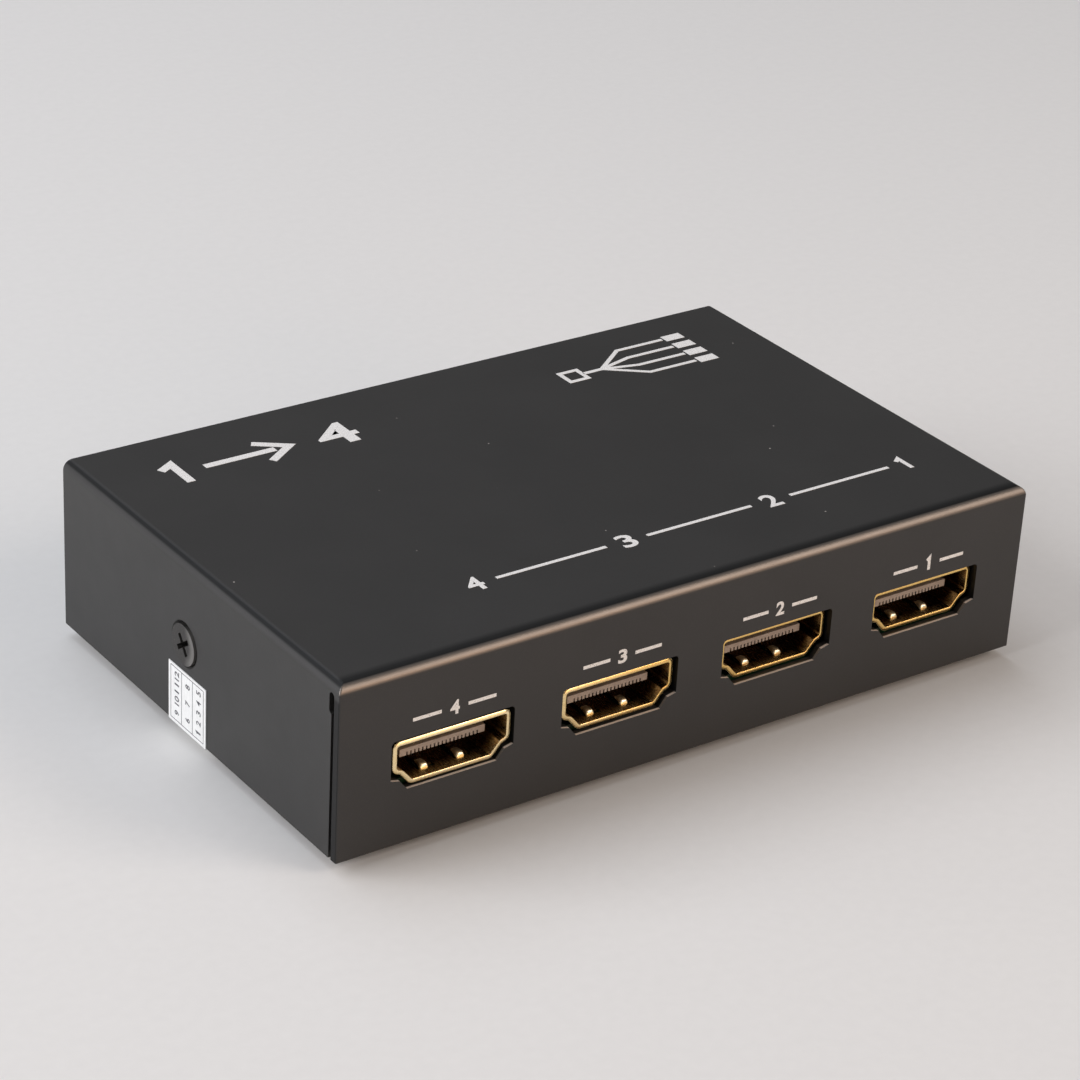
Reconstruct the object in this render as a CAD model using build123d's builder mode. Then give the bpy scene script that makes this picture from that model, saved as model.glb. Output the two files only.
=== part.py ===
from build123d import *
import os

os.makedirs("parts", exist_ok=True)

# One-to-four video splitter in a folded steel case, in millimetres.
# The cover is the top, the front and both sides, folded from one sheet with open front corners.
# The tray is the bottom, the rear wall and two screw tabs, and it carries the circuit board.
# Origin: centre of the case's footprint on the table. +X right, +Y to the rear, +Z up.

# Case
case_w = 95.0  # left to right
case_d = 60.6  # front to rear
case_h = 21.4  # without the feet
sheet = 1.0  # steel thickness
fold_inside_r = 0.2  # inside radius of every fold
sheet_edge_r = 0.2  # softened cut edges at the front corners
tray_gap = 0.25  # between the tray and the cover
seam_w = 0.5  # open seam at each front corner
relief_w = 0.95  # fold relief at the top of that seam
relief_h = 2.6
overrun = 2.0  # how far cutting tools run past a face

# Feet and seal
foot_r = 4.0
foot_h = 1.5
foot_inset_x = 9.5  # from the case's sides to a foot's centre
foot_inset_y = 9.0
seal_w = 8.3
seal_h = 7.45  # height of the seal's leaf on the left wall
seal_under = 8.0  # length of its leaf under the case
seal_t = 0.1
seal_y = 1.15  # depth of its middle, counted back from the case's middle

# Sockets: the mouth's stepped outline is measured inside the shell
mouth_w = 14.0
mouth_h = 4.55
mouth_side_low = 1.7  # where the straight sides end, above the floor
mouth_step_w = 12.4  # width at the inner corners of the step
mouth_step_h = 1.42
mouth_foot_w = 10.0  # width of the floor
mouth_top_r = 0.35
mouth_side_r = 0.5
mouth_step_r = 0.7
mouth_foot_r = 0.5
shell_t = 0.3
shell_l = 11.0
lip_w = 0.5  # flare of the shell's front lip
leg_w = 1.4
leg_front_y = 2.6
leg_rear_y = 8.4
leg_lap = 0.65  # legs overlap the straight sides by this much
leg_out = 0.9  # how far the legs stick out under the board
spring_w = 1.6
spring_slot = 0.3
spring_pitch = 4.64
spring_tip_y = 1.5
spring_crest_y = 2.7
spring_root_y = 6.6
spring_lift = 0.38  # how far a spring's crest stands inside the wall
spring_tip_lift = 0.06
spring_lap = 0.4  # a spring's root inside its wall
tail_cut_w = 9.6  # floor opening over the contacts' tails
tail_cut_y = 9.6

# Tongue and contacts
tongue_w = 10.9
tongue_t = 0.9
tongue_z = 1.85  # underside of the tongue above the floor
tongue_tip_y = 1.8
block_y = 7.2  # front of the moulded block that holds the tongue
block_end_y = 9.4
block_gap = 0.12
contact_count = 19
contact_pitch = 0.5
contact_w = 0.24
contact_t = 0.14
contact_gap = 0.03
contact_tip_y = 2.6
contact_drop_y = 9.9  # where the contacts bend down to the board
contact_lap = 0.3  # the tongue's root inside its block
comb_slot_w = 0.2
comb_slot_h = 0.42
comb_slot_d = 0.55

# Front wall
port_count = 4
port_pitch_share = 0.2316  # of the case's width
port_z_share = 0.4556  # middle of the mouths above the case's underside, of its height
port_gap = 0.35  # wall opening round the lip
port_step_gap = 1.05  # wall opening under the step
port_step_out = 0.5
port_foot_out = 0.75
port_cut_r = 0.15
setback_shares = [0.3, 0.55, 0.9, 0.85]  # of the sheet, left to right: the lips' depth in the wall

# Rear wall: places are shares of the case's width, counted from its middle
input_share = -0.147
input_setback = 0.35
jack_share = 0.347
switch_share = 0.19
lamp_share = 0.074

# Board
board_t = 1.6
board_side_gap = 2.0  # to the cover's side walls
board_end_gap = 0.5  # to the front and rear walls
board_hole_gap = 0.15
standoff_r = 2.6
standoff_inset_x = 6.5  # from the case's sides to a standoff's axis
standoff_inset_y = 17.3  # from the front and the rear
spigot_r = 2.0  # hexagonal, as the standoff
running_gap = 0.02
board_screw_r = 1.25
board_screw_l = 5.0
board_screw_head_r = 2.4
board_screw_head_h = 1.7
screw_gap = 0.05

# Case screws
case_screw_y = 1.95  # counted back from the case's middle
case_screw_z = 10.9  # above the case's underside
case_screw_r = 1.5
case_screw_l = 5.2
case_screw_head_r = 2.5
case_screw_rim = 0.45  # height of the head's upright rim
case_screw_proud = 0.2
countersink_r = 2.85
cross_w = 0.62
cross_l = 2.8
cross_d = 1.1
cross_taper = 12.0  # degrees
cross_turn = 35.0  # degrees
tab_w = 15.0
tab_over = 4.6  # tab above the screw's axis
tab_corner_r = 2.0
notch_w = 1.0  # fold relief beside each tab
notch_d = 1.6
collar_r = 2.6
collar_l = 1.0

# Power jack
jack_w = 9.0
jack_l = 12.5
jack_axis_z = 6.5  # above the board
jack_flange_t = 3.3
jack_bore_r = 3.15
jack_bore_l = 10.0
jack_wall_gap = 0.3
jack_hole_r = 4.0
jack_pin_r = 1.0
jack_pin_back = 1.0  # the pin's tip behind the jack's face
jack_tag_w = 3.0
jack_tag_t = 0.4
jack_spring_w = 2.0
jack_spring_t = 0.3
jack_spring_lift = 0.25  # how far it stands into the bore
jack_spring_y = 3.0
jack_spring_drop_y = 8.0
jack_spring_gap = 0.05
jack_pin_edge = 0.3
jack_tag_over = 1.5  # tag above the pin's axis
tag_out = 1.2  # how far terminals stick out under the board

# Slide switch
switch_w = 8.6
switch_h = 4.4
switch_d = 4.6
switch_t = 0.4
switch_wall_gap = 0.3
switch_base_d = 1.8
switch_floor_t = 0.8
switch_gap = 0.05
switch_leg_w = 1.2
slider_w = 4.4
slider_gap = 0.3
lever_w = 1.6
lever_out = 0.8  # lever proud of the rear wall
lever_travel = 2.0
lever_gap = 0.3
lever_edge_r = 0.25
terminal_count = 3
terminal_pitch = 2.5
terminal_w = 0.6
terminal_in = 2.0  # height of the terminals inside the base

# Lamp
lamp_r = 1.5
lamp_rim_r = 1.9
lamp_rim_t = 1.0
lamp_l = 5.0
lamp_z = 3.6  # axis above the board
lamp_gap = 0.15
lamp_front = 0.0  # the dome's tip behind the rear wall's face
lead_w = 0.5
lead_pitch = 1.6
lead_back = 1.8

# Board components, placed from the case's middle
splitter_place = (0.0, 1.0)
splitter_w = 12.0
splitter_t = 1.3
control_place = (-22.0, 4.0)
control_w = 6.0
control_t = 0.9
regulator_place = (22.0, 8.5)
regulator_w = 6.5
regulator_d = 3.5
regulator_t = 1.6
crystal_place = (-11.5, 6.0)
crystal_w = 5.0
crystal_d = 3.2
crystal_t = 1.1
coil_place = (32.5, 7.5)
coil_w = 6.0
coil_t = 3.0
coil_corner_r = 1.2
can_places = [(24.5, 0.0), (31.5, 0.0)]
can_r = 2.5
can_h = 5.4
array_w = 2.5
array_d = 1.2
array_t = 0.6
array_back = 1.8  # behind each output socket
array_pitch = 5.0
chip_edge = 0.2

# Places that follow from the sizes above
fold_r = fold_inside_r + sheet
front_y = -case_d / 2
rear_y = case_d / 2
side_x = case_w / 2
under_z = foot_h
top_z = under_z + case_h
front_in_y = front_y + sheet
rear_in_y = rear_y - sheet
side_in_x = side_x - sheet
tray_x = side_in_x - tray_gap
tray_top_z = under_z + sheet
port_pitch = port_pitch_share * case_w
port_z = port_z_share * case_h
mouth_floor_z = under_z + port_z - mouth_h / 2
board_top_z = mouth_floor_z - shell_t
board_z = board_top_z - board_t
board_x = side_in_x - board_side_gap
board_front_y = front_in_y + board_end_gap
board_rear_y = rear_in_y - board_end_gap
screw_z = under_z + case_screw_z
countersink_in_r = countersink_r - sheet
ports_x = [(index - (port_count - 1) / 2) * port_pitch for index in range(port_count)]
ports_y = [front_y + share * sheet for share in setback_shares]
input_x = input_share * case_w
input_y = rear_y - input_setback
jack_x = jack_share * case_w
jack_y = rear_in_y - jack_wall_gap
jack_z = board_top_z + jack_axis_z
switch_x = switch_share * case_w
switch_y = rear_in_y - switch_wall_gap
slider_low = switch_floor_t + slider_gap
slider_high = switch_h - switch_t - slider_gap
lever_z = (slider_low + slider_high) / 2
lever_slot_w = lever_w + lever_travel + 2 * lever_gap
lever_slot_h = lever_w + 2 * lever_gap
terminal_y = switch_d - switch_base_d / 2
lamp_x = lamp_share * case_w
lamp_y = rear_y - lamp_front
tab_top_z = screw_z + tab_over
roof_wall = shell_t + mouth_h + shell_t / 2
side_wall = mouth_w / 2 + shell_t / 2
channel_w = (contact_count - 1) * contact_pitch + contact_w + 2 * contact_gap
tongue_low = shell_t + tongue_z
tongue_high = tongue_low + tongue_t
mouth_radii = [mouth_top_r, mouth_side_r, mouth_step_r, mouth_foot_r]
square_corners = [0, 0, 0, 0]
standoff_x = side_x - standoff_inset_x
standoff_places = [
    (side * standoff_x, y)
    for side in (-1, 1)
    for y in (front_y + standoff_inset_y, rear_y - standoff_inset_y)
]


def upright(y):
    """Upright plane across the case at depth y, drawn in X and Z."""
    return Plane.XZ.offset(-y)


def stepped_outline(half_w, top, side_low, step_half_w, step_z, foot_half_w, bottom, radii):
    """Closed outline with upright sides that step inwards and slope down to a narrower foot."""
    right = [(half_w, top), (half_w, side_low), (step_half_w, step_z), (foot_half_w, bottom)]
    left = [(-x, z) for x, z in reversed(right)]
    with BuildSketch() as outline:
        with BuildLine():
            FilletPolyline(*right, *left, radius=radii + radii[::-1], close=True)
        make_face()
    return outline.sketch


def mouth_outline(grow, radii):
    """Outline of a socket's mouth, grown by a wall, with the middle of its floor at 0, 0."""
    inside = stepped_outline(
        mouth_w / 2,
        mouth_h,
        mouth_side_low,
        mouth_step_w / 2,
        mouth_step_h,
        mouth_foot_w / 2,
        0,
        radii,
    )
    with BuildSketch() as outline:
        add(inside)
        if grow:
            offset(amount=grow, kind=Kind.INTERSECTION)
    return outline.sketch


def port_opening():
    """Outline of the wall's opening round a socket, clear of its lip all round."""
    clear = lip_w + port_gap
    return stepped_outline(
        mouth_w / 2 + clear,
        mouth_h + clear,
        mouth_side_low - port_step_gap,
        mouth_step_w / 2 + port_step_out,
        mouth_step_h - port_step_gap,
        mouth_foot_w / 2 + port_foot_out,
        -clear,
        [mouth_top_r + port_cut_r, 0, 0, 0],
    )


# Hollow of the cover, open below and at the rear
with BuildPart() as case_hollow:
    with BuildSketch(Plane.XY.offset(under_z - overrun)):
        with Locations((0, (sheet + overrun) / 2)):
            Rectangle(case_w - 2 * sheet, case_d - sheet + overrun)
    extrude(amount=case_h - sheet + overrun)
    ceiling = case_hollow.faces().sort_by(Axis.Z)[-1]
    fillet(ceiling.edges().sort_by(Axis.Y)[:-1], radius=fold_inside_r)

# Cover: top, front and sides folded from one sheet
with BuildPart() as top_cover:
    with BuildSketch(Plane.XY.offset(under_z)):
        Rectangle(case_w, case_d)
    extrude(amount=case_h)
    roof = top_cover.faces().sort_by(Axis.Z)[-1]
    fillet(roof.edges().sort_by(Axis.Y)[:-1], radius=fold_r)
    add(case_hollow.part, mode=Mode.SUBTRACT)
    for side in (-1, 1):
        with BuildSketch(Plane.YZ.offset(side * (side_x + overrun))):
            with Locations((front_in_y + seam_w / 2, top_z - fold_r - relief_h / 2 - case_h / 2)):
                Rectangle(seam_w, case_h)
            with Locations((front_in_y + relief_w / 2, top_z - fold_r - relief_h / 2)):
                SlotOverall(relief_h, relief_w, rotation=90)
        extrude(amount=-side * (sheet + overrun), mode=Mode.SUBTRACT)
        with Locations(Plane((side * side_x, case_screw_y, screw_z), (0, 1, 0), (side, 0, 0))):
            CounterSinkHole(countersink_in_r, countersink_r, 2 * sheet, 90)
    with BuildSketch(upright(front_y - overrun)):
        with Locations(*[(x, mouth_floor_z) for x in ports_x]):
            add(port_opening())
    extrude(amount=-(sheet + overrun), mode=Mode.SUBTRACT)
    corners = top_cover.edges().filter_by(Axis.Z).group_by(Axis.Y)[0].sort_by(Axis.X)
    fillet([corners[0], corners[-1]], radius=sheet_edge_r)
top_cover.part.label = "top_cover"
export_step(top_cover.part, "parts/top_cover.step")

# Tray: bottom and rear wall in one fold, with a screw tab at each side
with BuildPart() as base_tray:
    with BuildSketch(Plane.YZ):
        with BuildLine():
            FilletPolyline(
                (front_in_y + tray_gap, under_z),
                (rear_y, under_z),
                (rear_y, top_z - sheet - tray_gap),
                (rear_in_y, top_z - sheet - tray_gap),
                (rear_in_y, tray_top_z),
                (front_in_y + tray_gap, tray_top_z),
                radius=[0, fold_r, 0, 0, fold_inside_r, 0],
                close=True,
            )
        make_face()
    extrude(amount=tray_x, both=True)
    for side in (-1, 1):
        with BuildSketch(Plane.YZ.offset(side * tray_x)):
            with Locations((case_screw_y, (under_z + tab_top_z) / 2)):
                Rectangle(tab_w, tab_top_z - under_z)
        extrude(amount=-side * sheet)
        with BuildSketch(Plane.YZ.offset(side * tray_x)):
            with Locations((case_screw_y, screw_z)):
                Circle(collar_r)
        extrude(amount=-side * (sheet + collar_l))
        for end in (-1, 1):
            with BuildSketch(Plane.XY.offset(under_z - overrun)):
                with Locations((side * tray_x, case_screw_y + end * (tab_w + notch_w) / 2)):
                    Rectangle(2 * notch_d, notch_w)
            extrude(amount=sheet + overrun, mode=Mode.SUBTRACT)
    below = base_tray.edges().filter_by(Axis.Y).group_by(Axis.Z)[0]
    fillet(below.filter_by_position(Axis.Y, case_screw_y - tab_w / 2, case_screw_y + tab_w / 2), radius=fold_r)
    tab_corners = base_tray.edges().filter_by(Axis.X).group_by(Axis.Z)[-2]
    fillet(tab_corners, radius=tab_corner_r)
    with BuildSketch(Plane.YZ):
        with Locations((case_screw_y, screw_z)):
            Circle(case_screw_r + screw_gap)
    extrude(amount=side_x, both=True, mode=Mode.SUBTRACT)
    with BuildSketch(upright(rear_y + overrun)):
        with Locations((input_x, mouth_floor_z)):
            add(port_opening())
        with Locations((jack_x, jack_z)):
            Circle(jack_hole_r)
        with Locations((switch_x, board_top_z + lever_z)):
            Rectangle(lever_slot_w, lever_slot_h)
        with Locations((lamp_x, board_top_z + lamp_z)):
            Circle(lamp_r + lamp_gap)
    extrude(amount=sheet + overrun, mode=Mode.SUBTRACT)
    with BuildSketch(Plane.XY.offset(under_z - overrun)):
        with Locations(*standoff_places):
            RegularPolygon(spigot_r + running_gap, 6, major_radius=False)
    extrude(amount=sheet + 2 * overrun, mode=Mode.SUBTRACT)
base_tray.part.label = "base_tray"
export_step(base_tray.part, "parts/base_tray.step")

# Feet: self-adhesive rubber dots under the tray's corners
for end, foot_y in (("front", front_y + foot_inset_y), ("rear", rear_y - foot_inset_y)):
    for flank, foot_x in (("left", foot_inset_x - side_x), ("right", side_x - foot_inset_x)):
        with BuildPart() as foot:
            with BuildSketch(Plane.XY):
                with Locations((foot_x, foot_y)):
                    Circle(foot_r)
            extrude(amount=foot_h)
        foot.part.label = f"foot_{end}_{flank}"
        export_step(foot.part, f"parts/foot_{end}_{flank}.step")

# Seal: paper strip down the left wall, folded under the case
with BuildPart() as seal_label:
    with BuildSketch(upright(seal_y - seal_w / 2)):
        with BuildLine():
            Polyline(
                (-side_x - seal_t, under_z - seal_t),
                (-side_x - seal_t, under_z + seal_h),
                (-side_x, under_z + seal_h),
                (-side_x, under_z),
                (-side_x + seal_under, under_z),
                (-side_x + seal_under, under_z - seal_t),
                close=True,
            )
        make_face()
    extrude(amount=-seal_w)
seal_label.part.label = "seal_label"
export_step(seal_label.part, "parts/seal_label.step")

# Case screws: countersunk, through the cover's sides into the tray's tabs
with BuildPart() as case_screw:
    with BuildSketch(Plane.XZ):
        with BuildLine():
            Polyline(
                (0, case_screw_proud),
                (case_screw_head_r, case_screw_proud),
                (case_screw_head_r, case_screw_proud - case_screw_rim),
                (case_screw_r, case_screw_proud - case_screw_rim + case_screw_r - case_screw_head_r),
                (case_screw_r, -case_screw_l),
                (0, -case_screw_l),
                close=True,
            )
        make_face()
    revolve(axis=Axis.Z)
    with BuildSketch(Plane.XY.offset(case_screw_proud)):
        Rectangle(cross_l, cross_w, rotation=cross_turn)
        Rectangle(cross_w, cross_l, rotation=cross_turn)
    extrude(amount=-cross_d, taper=cross_taper, mode=Mode.SUBTRACT)
for flank, side in (("left", -1), ("right", 1)):
    with BuildPart() as placed:
        with Locations(Plane((side * side_x, case_screw_y, screw_z), (0, 1, 0), (side, 0, 0))):
            add(case_screw.part)
    placed.part.label = f"case_screw_{flank}"
    export_step(placed.part, f"parts/case_screw_{flank}.step")

# Standoffs: hexagonal, clinched into the tray
with BuildPart() as standoffs:
    with BuildSketch(Plane.XY.offset(tray_top_z)):
        with Locations(*standoff_places):
            RegularPolygon(standoff_r, 6, major_radius=False)
    extrude(amount=board_z - tray_top_z)
    with BuildSketch(Plane.XY.offset(under_z)):
        with Locations(*standoff_places):
            RegularPolygon(spigot_r, 6, major_radius=False)
    extrude(amount=sheet)
    with BuildSketch(Plane.XY.offset(under_z)):
        with Locations(*standoff_places):
            Circle(board_screw_r + screw_gap)
    extrude(amount=board_z - under_z, mode=Mode.SUBTRACT)
standoffs.part.label = "standoffs"
export_step(standoffs.part, "parts/standoffs.step")

# Board screws: hexagonal heads on the board, shanks in the standoffs
with BuildPart() as board_screw:
    with BuildSketch(Plane.XY):
        RegularPolygon(board_screw_head_r, 6, major_radius=False)
    extrude(amount=board_screw_head_h)
    with BuildSketch(Plane.XY):
        Circle(board_screw_r)
    extrude(amount=-board_screw_l)
with BuildPart() as board_screws:
    with Locations(*[(x, y, board_top_z) for x, y in standoff_places]):
        add(board_screw.part)
board_screws.part.label = "board_screws"
export_step(board_screws.part, "parts/board_screws.step")

# Socket shell: stepped tube with a flared lip, bent springs in its walls and four board legs
with BuildPart() as socket_shell:
    with BuildSketch(upright(0)):
        with Locations((0, shell_t)):
            add(mouth_outline(shell_t, square_corners))
    extrude(amount=-shell_l)
    with BuildSketch(upright(0)):
        with Locations((0, shell_t)):
            add(mouth_outline(lip_w, mouth_radii))
    extrude(amount=-shell_t)
    for side in (-1, 1):
        for leg_y in (leg_front_y, leg_rear_y):
            with BuildSketch(Plane.YZ.offset(side * mouth_w / 2)):
                with Locations((leg_y, (shell_t + mouth_side_low + leg_lap - board_t - leg_out) / 2)):
                    Rectangle(leg_w, shell_t + mouth_side_low + leg_lap + board_t + leg_out)
            extrude(amount=side * shell_t)
    with BuildSketch(upright(0)):
        with Locations((0, shell_t)):
            add(mouth_outline(0, mouth_radii))
    extrude(amount=-shell_l, mode=Mode.SUBTRACT)
    with BuildSketch(Plane.XY):
        with Locations((0, (tail_cut_y + shell_l + overrun) / 2)):
            Rectangle(tail_cut_w, shell_l + overrun - tail_cut_y)
    extrude(amount=shell_t, mode=Mode.SUBTRACT)
    window_l = spring_root_y - spring_tip_y + spring_slot
    window_y = spring_root_y - window_l / 2
    with BuildSketch(Plane.XY.offset(-shell_t)):
        with Locations((-spring_pitch / 2, window_y), (spring_pitch / 2, window_y)):
            Rectangle(spring_w + 2 * spring_slot, window_l)
    extrude(amount=mouth_h + 4 * shell_t, mode=Mode.SUBTRACT)
    for wall, inward in ((shell_t / 2, 1), (roof_wall, -1)):
        for spring_x in (-spring_pitch / 2, spring_pitch / 2):
            with BuildSketch(Plane.YZ.offset(spring_x)):
                with BuildLine():
                    Polyline(
                        (spring_root_y + spring_lap, wall),
                        (spring_root_y, wall),
                        (spring_crest_y, wall + inward * spring_lift),
                        (spring_tip_y, wall + inward * spring_tip_lift),
                    )
                trace(line_width=shell_t)
            extrude(amount=spring_w / 2, both=True)

# Socket block: moulded block with the tongue, its comb of slots and a channel for each row
with BuildPart() as socket_block:
    with BuildSketch(upright(block_y)):
        with Locations((0, shell_t)):
            add(mouth_outline(-block_gap, square_corners))
    extrude(amount=-(block_end_y - block_y))
    with BuildSketch(upright(tongue_tip_y)):
        with Locations((0, (tongue_low + tongue_high) / 2)):
            Rectangle(tongue_w, tongue_t)
    extrude(amount=-(block_y + contact_lap - tongue_tip_y))
    with BuildSketch(upright(tongue_tip_y)):
        with Locations((0, tongue_low + (comb_slot_h - overrun) / 2)):
            with GridLocations(contact_pitch, 0, contact_count, 1):
                Rectangle(comb_slot_w, comb_slot_h + overrun)
    extrude(amount=-comb_slot_d, mode=Mode.SUBTRACT)
    with BuildSketch(upright(block_y)):
        channel_h = contact_t + contact_gap
        with Locations((0, tongue_high + channel_h / 2), (0, tongue_low - channel_h / 2)):
            Rectangle(channel_w, channel_h)
    extrude(amount=-(block_end_y - block_y), mode=Mode.SUBTRACT)

# Socket contacts: rows above and below the tongue, bent down behind the block to the board
with BuildPart() as socket_contacts:
    for index in range(contact_count):
        row_z = (tongue_high + contact_t / 2, tongue_low - contact_t / 2)[index % 2]
        with BuildSketch(Plane.YZ.offset((index - (contact_count - 1) / 2) * contact_pitch)):
            with BuildLine():
                Polyline((contact_tip_y, row_z), (contact_drop_y, row_z), (contact_drop_y, 0))
            trace(line_width=contact_t)
        extrude(amount=contact_w / 2, both=True)

# The five sockets, numbered from the right at the front
socket_places = {"input": Location((input_x, input_y, board_top_z), (0, 0, 180))}
for index in range(port_count):
    place = Location((ports_x[index], ports_y[index], board_top_z))
    socket_places[f"output_{port_count - index}"] = place
for socket, place in socket_places.items():
    for piece, model in (("shell", socket_shell), ("block", socket_block), ("contacts", socket_contacts)):
        with BuildPart() as placed:
            with Locations(place):
                add(model.part)
        placed.part.label = f"{socket}_{piece}"
        export_step(placed.part, f"parts/{socket}_{piece}.step")

# Jack body: square flange and arched barrel round a bore, with slots for its two contacts
with BuildPart() as jack_body:
    with BuildSketch(upright(0)):
        with Locations((0, (jack_axis_z + jack_w / 2) / 2)):
            Rectangle(jack_w, jack_axis_z + jack_w / 2)
    extrude(amount=-jack_flange_t)
    with BuildSketch(upright(0)):
        with Locations((0, jack_axis_z / 2)):
            Rectangle(jack_w, jack_axis_z)
        with Locations((0, jack_axis_z)):
            Circle(jack_w / 2)
    extrude(amount=-jack_l)
    with BuildSketch(upright(0)):
        with Locations((0, jack_axis_z)):
            Circle(jack_bore_r)
    extrude(amount=-jack_bore_l, mode=Mode.SUBTRACT)
    with BuildSketch(upright(jack_bore_l)):
        with Locations((0, jack_axis_z)):
            Circle(jack_pin_r + running_gap)
    extrude(amount=jack_bore_l - jack_l, mode=Mode.SUBTRACT)
    with BuildSketch(Plane.YZ):
        jack_leaf_z = jack_axis_z - jack_bore_r + jack_spring_lift - jack_spring_t / 2
        with BuildLine():
            Polyline(
                (jack_spring_y - jack_spring_t, jack_leaf_z),
                (jack_spring_drop_y, jack_leaf_z),
                (jack_spring_drop_y, -overrun),
            )
        trace(line_width=jack_spring_t + 2 * jack_spring_gap)
    extrude(amount=jack_spring_w / 2 + jack_spring_gap, both=True, mode=Mode.SUBTRACT)

# Jack spring: leaf under the bore, with its tail through the board
with BuildPart() as jack_spring:
    with BuildSketch(Plane.YZ):
        with BuildLine():
            Polyline(
                (jack_spring_y, jack_leaf_z),
                (jack_spring_drop_y, jack_leaf_z),
                (jack_spring_drop_y, -board_t - tag_out),
            )
        trace(line_width=jack_spring_t)
    extrude(amount=jack_spring_w / 2, both=True)

# Jack pin: centre pin riveted through the body's rear, with its tag through the board
with BuildPart() as jack_pin:
    with BuildSketch(upright(jack_pin_back)):
        with Locations((0, jack_axis_z)):
            Circle(jack_pin_r)
    extrude(amount=-(jack_l - jack_pin_back + running_gap))
    chamfer(jack_pin.faces().sort_by(Axis.Y)[0].edges(), length=jack_pin_edge)
    with BuildSketch(upright(jack_l + running_gap)):
        with Locations((0, (jack_axis_z + jack_tag_over - board_t - tag_out) / 2)):
            Rectangle(jack_tag_w, jack_axis_z + jack_tag_over + board_t + tag_out)
    extrude(amount=-jack_tag_t)

# Switch frame: folded steel cap with the lever's slot and two board legs
with BuildPart() as switch_frame:
    with BuildSketch(Plane.XY):
        with Locations((0, switch_d / 2)):
            Rectangle(switch_w, switch_d)
    extrude(amount=switch_h)
    with BuildSketch(Plane.XY):
        with Locations((0, switch_t + switch_d / 2)):
            Rectangle(switch_w - 2 * switch_t, switch_d)
    extrude(amount=switch_h - switch_t, mode=Mode.SUBTRACT)
    with BuildSketch(upright(0)):
        with Locations((0, lever_z)):
            Rectangle(lever_slot_w, lever_slot_h)
    extrude(amount=-switch_t, mode=Mode.SUBTRACT)
    for side in (-1, 1):
        with BuildSketch(Plane.YZ.offset(side * switch_w / 2)):
            with Locations((switch_d / 2, (switch_t - board_t - leg_out) / 2)):
                Rectangle(switch_leg_w, switch_t + board_t + leg_out)
        extrude(amount=-side * switch_t)

# Switch base: floor under the slider and a block behind it, holding the terminals
with BuildPart() as switch_base:
    with BuildSketch(Plane.YZ):
        with BuildLine():
            Polyline(
                (switch_t + switch_gap, 0),
                (switch_d, 0),
                (switch_d, switch_h - switch_t - switch_gap),
                (switch_d - switch_base_d, switch_h - switch_t - switch_gap),
                (switch_d - switch_base_d, switch_floor_t),
                (switch_t + switch_gap, switch_floor_t),
                close=True,
            )
        make_face()
    extrude(amount=switch_w / 2 - switch_t - switch_gap, both=True)
    with BuildSketch(Plane.XY):
        with Locations((0, terminal_y)):
            with GridLocations(terminal_pitch, 0, terminal_count, 1):
                Rectangle(terminal_w + 2 * running_gap, terminal_w + 2 * running_gap)
    extrude(amount=terminal_in + running_gap, mode=Mode.SUBTRACT)

# Switch terminals
with BuildPart() as switch_terminals:
    with BuildSketch(Plane.XY.offset(-board_t - tag_out)):
        with Locations((0, terminal_y)):
            with GridLocations(terminal_pitch, 0, terminal_count, 1):
                Rectangle(terminal_w, terminal_w)
    extrude(amount=board_t + tag_out + terminal_in)

# Switch lever: slider inside the cap and the nub that stands out of the rear wall
with BuildPart() as switch_lever:
    with BuildSketch(upright(switch_t + slider_gap)):
        with Locations((lever_travel / 2, lever_z)):
            Rectangle(slider_w, slider_high - slider_low)
    extrude(amount=-(switch_d - switch_base_d - switch_t - 2 * slider_gap))
    with BuildSketch(upright(switch_t + slider_gap)):
        with Locations((lever_travel / 2, lever_z)):
            Rectangle(lever_w, lever_w)
    extrude(amount=switch_t + slider_gap + switch_wall_gap + sheet + lever_out)
    fillet(switch_lever.faces().sort_by(Axis.Y)[0].edges(), radius=lever_edge_r)

# Lamp: round body with a rim, lying behind its hole
with BuildPart() as power_lamp:
    with BuildSketch(Plane.XY):
        with BuildLine():
            Polyline(
                (0, 0),
                (lamp_r, 0),
                (lamp_r, lamp_l),
                (lamp_rim_r, lamp_l),
                (lamp_rim_r, lamp_l + lamp_rim_t),
                (0, lamp_l + lamp_rim_t),
                close=True,
            )
        make_face()
    revolve(axis=Axis.Y)

# Lamp leads, bent down to the board
with BuildPart() as lamp_leads:
    for lead_x in (-lead_pitch / 2, lead_pitch / 2):
        with BuildSketch(Plane.YZ.offset(lead_x)):
            with BuildLine():
                Polyline(
                    (lamp_l + lamp_rim_t, 0),
                    (lamp_l + lamp_rim_t + lead_back, 0),
                    (lamp_l + lamp_rim_t + lead_back, -lamp_z - board_t - tag_out),
                )
            trace(line_width=lead_w)
        extrude(amount=lead_w / 2, both=True)

# Pieces behind the rear wall, turned to face it
rear_pieces = (
    ("jack_body", jack_body, (jack_x, jack_y, board_top_z)),
    ("jack_spring", jack_spring, (jack_x, jack_y, board_top_z)),
    ("jack_pin", jack_pin, (jack_x, jack_y, board_top_z)),
    ("switch_frame", switch_frame, (switch_x, switch_y, board_top_z)),
    ("switch_base", switch_base, (switch_x, switch_y, board_top_z)),
    ("switch_terminals", switch_terminals, (switch_x, switch_y, board_top_z)),
    ("switch_lever", switch_lever, (switch_x, switch_y, board_top_z)),
    ("power_lamp", power_lamp, (lamp_x, lamp_y, board_top_z + lamp_z)),
    ("lamp_leads", lamp_leads, (lamp_x, lamp_y, board_top_z + lamp_z)),
)
for piece, model, origin in rear_pieces:
    with BuildPart() as placed:
        with Locations(Location(origin, (0, 0, 180))):
            add(model.part)
    placed.part.label = piece
    export_step(placed.part, f"parts/{piece}.step")

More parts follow.
